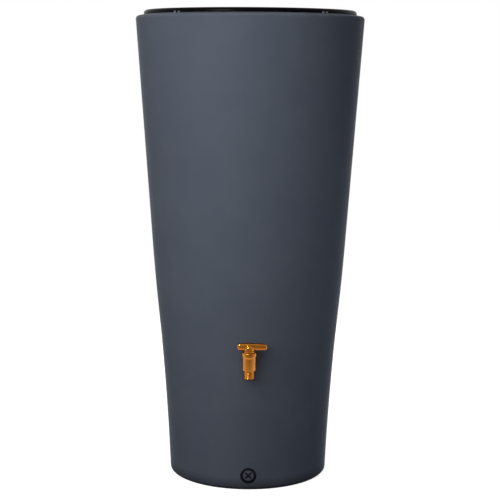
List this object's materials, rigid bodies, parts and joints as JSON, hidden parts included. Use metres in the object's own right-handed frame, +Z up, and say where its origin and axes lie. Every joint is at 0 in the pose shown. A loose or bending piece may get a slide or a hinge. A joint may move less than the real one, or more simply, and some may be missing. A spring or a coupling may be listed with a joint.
{
  "type": "rain barrel",
  "caption": "Tall tapered rain barrel with a lift-out plant bowl in its mouth, a quarter-turn tap low on the front, a screw-in drain plug at the foot and a hose inlet at the back.",
  "frame": {"origin": "centre of the foot ring, on the ground", "axes": "+Z up along the barrel's axis, -Y out of the front where the tap is, +X to the right of someone who faces the tap"},
  "size_m": [0.5828, 0.608, 1.2012],
  "materials": {
    "barrel": "fine moulded grain, semi-matt, graphite grey",
    "bowl": "satin, black",
    "tap": "cast and turned, polished",
    "rubber": "matt, black",
    "screw": "stainless",
    "plug": "fine moulded grain, dark graphite grey",
    "fitting": "satin, black"
  },
  "bodies": {
    "root": {"barrel_shell": "barrel", "tap_body": "tap", "tap_gland": "tap", "tap_outer_seal": "rubber", "tap_inner_seal": "rubber", "tap_lock_nut": "tap", "inlet_connector": "fitting", "inlet_outer_seal": "rubber", "inlet_inner_seal": "rubber", "inlet_lock_nut": "fitting"},
    "bowl": {"plant_bowl": "bowl"},
    "tap_lever": {"tap_handle": "tap", "tap_plug": "tap", "tap_plug_rings": "rubber", "tap_stem_ring": "rubber", "tap_handle_screw": "screw"},
    "drain_seal": {"drain_plug_seal": "rubber"},
    "drain_screw": {"drain_plug": "plug"}
  },
  "joints": [
    {"name": "bowl_lift", "type": "slide", "parent": "root", "child": "bowl", "axis": [0, 0, 1], "range_m": [0, 0.22]},
    {"name": "tap_turn", "type": "hinge", "parent": "root", "child": "tap_lever", "pos_m": [0, -0.26209, 0.35361], "axis": [0, 0.0908, -0.9959], "range_deg": [0, 90]},
    {"name": "drain_draw", "type": "slide", "parent": "root", "child": "drain_seal", "axis": [0, -1, 0], "range_m": [0, 0.01451]},
    {"name": "drain_turn", "type": "hinge", "parent": "drain_seal", "child": "drain_screw", "pos_m": [0, -0.20663, 0.0388], "axis": [0, -1, 0], "range_deg": [0, 2881.44]}
  ],
  "couplings": [
    {"joint": "drain_turn", "follows": "drain_draw", "rad_per_m": 3463.2}
  ]
}
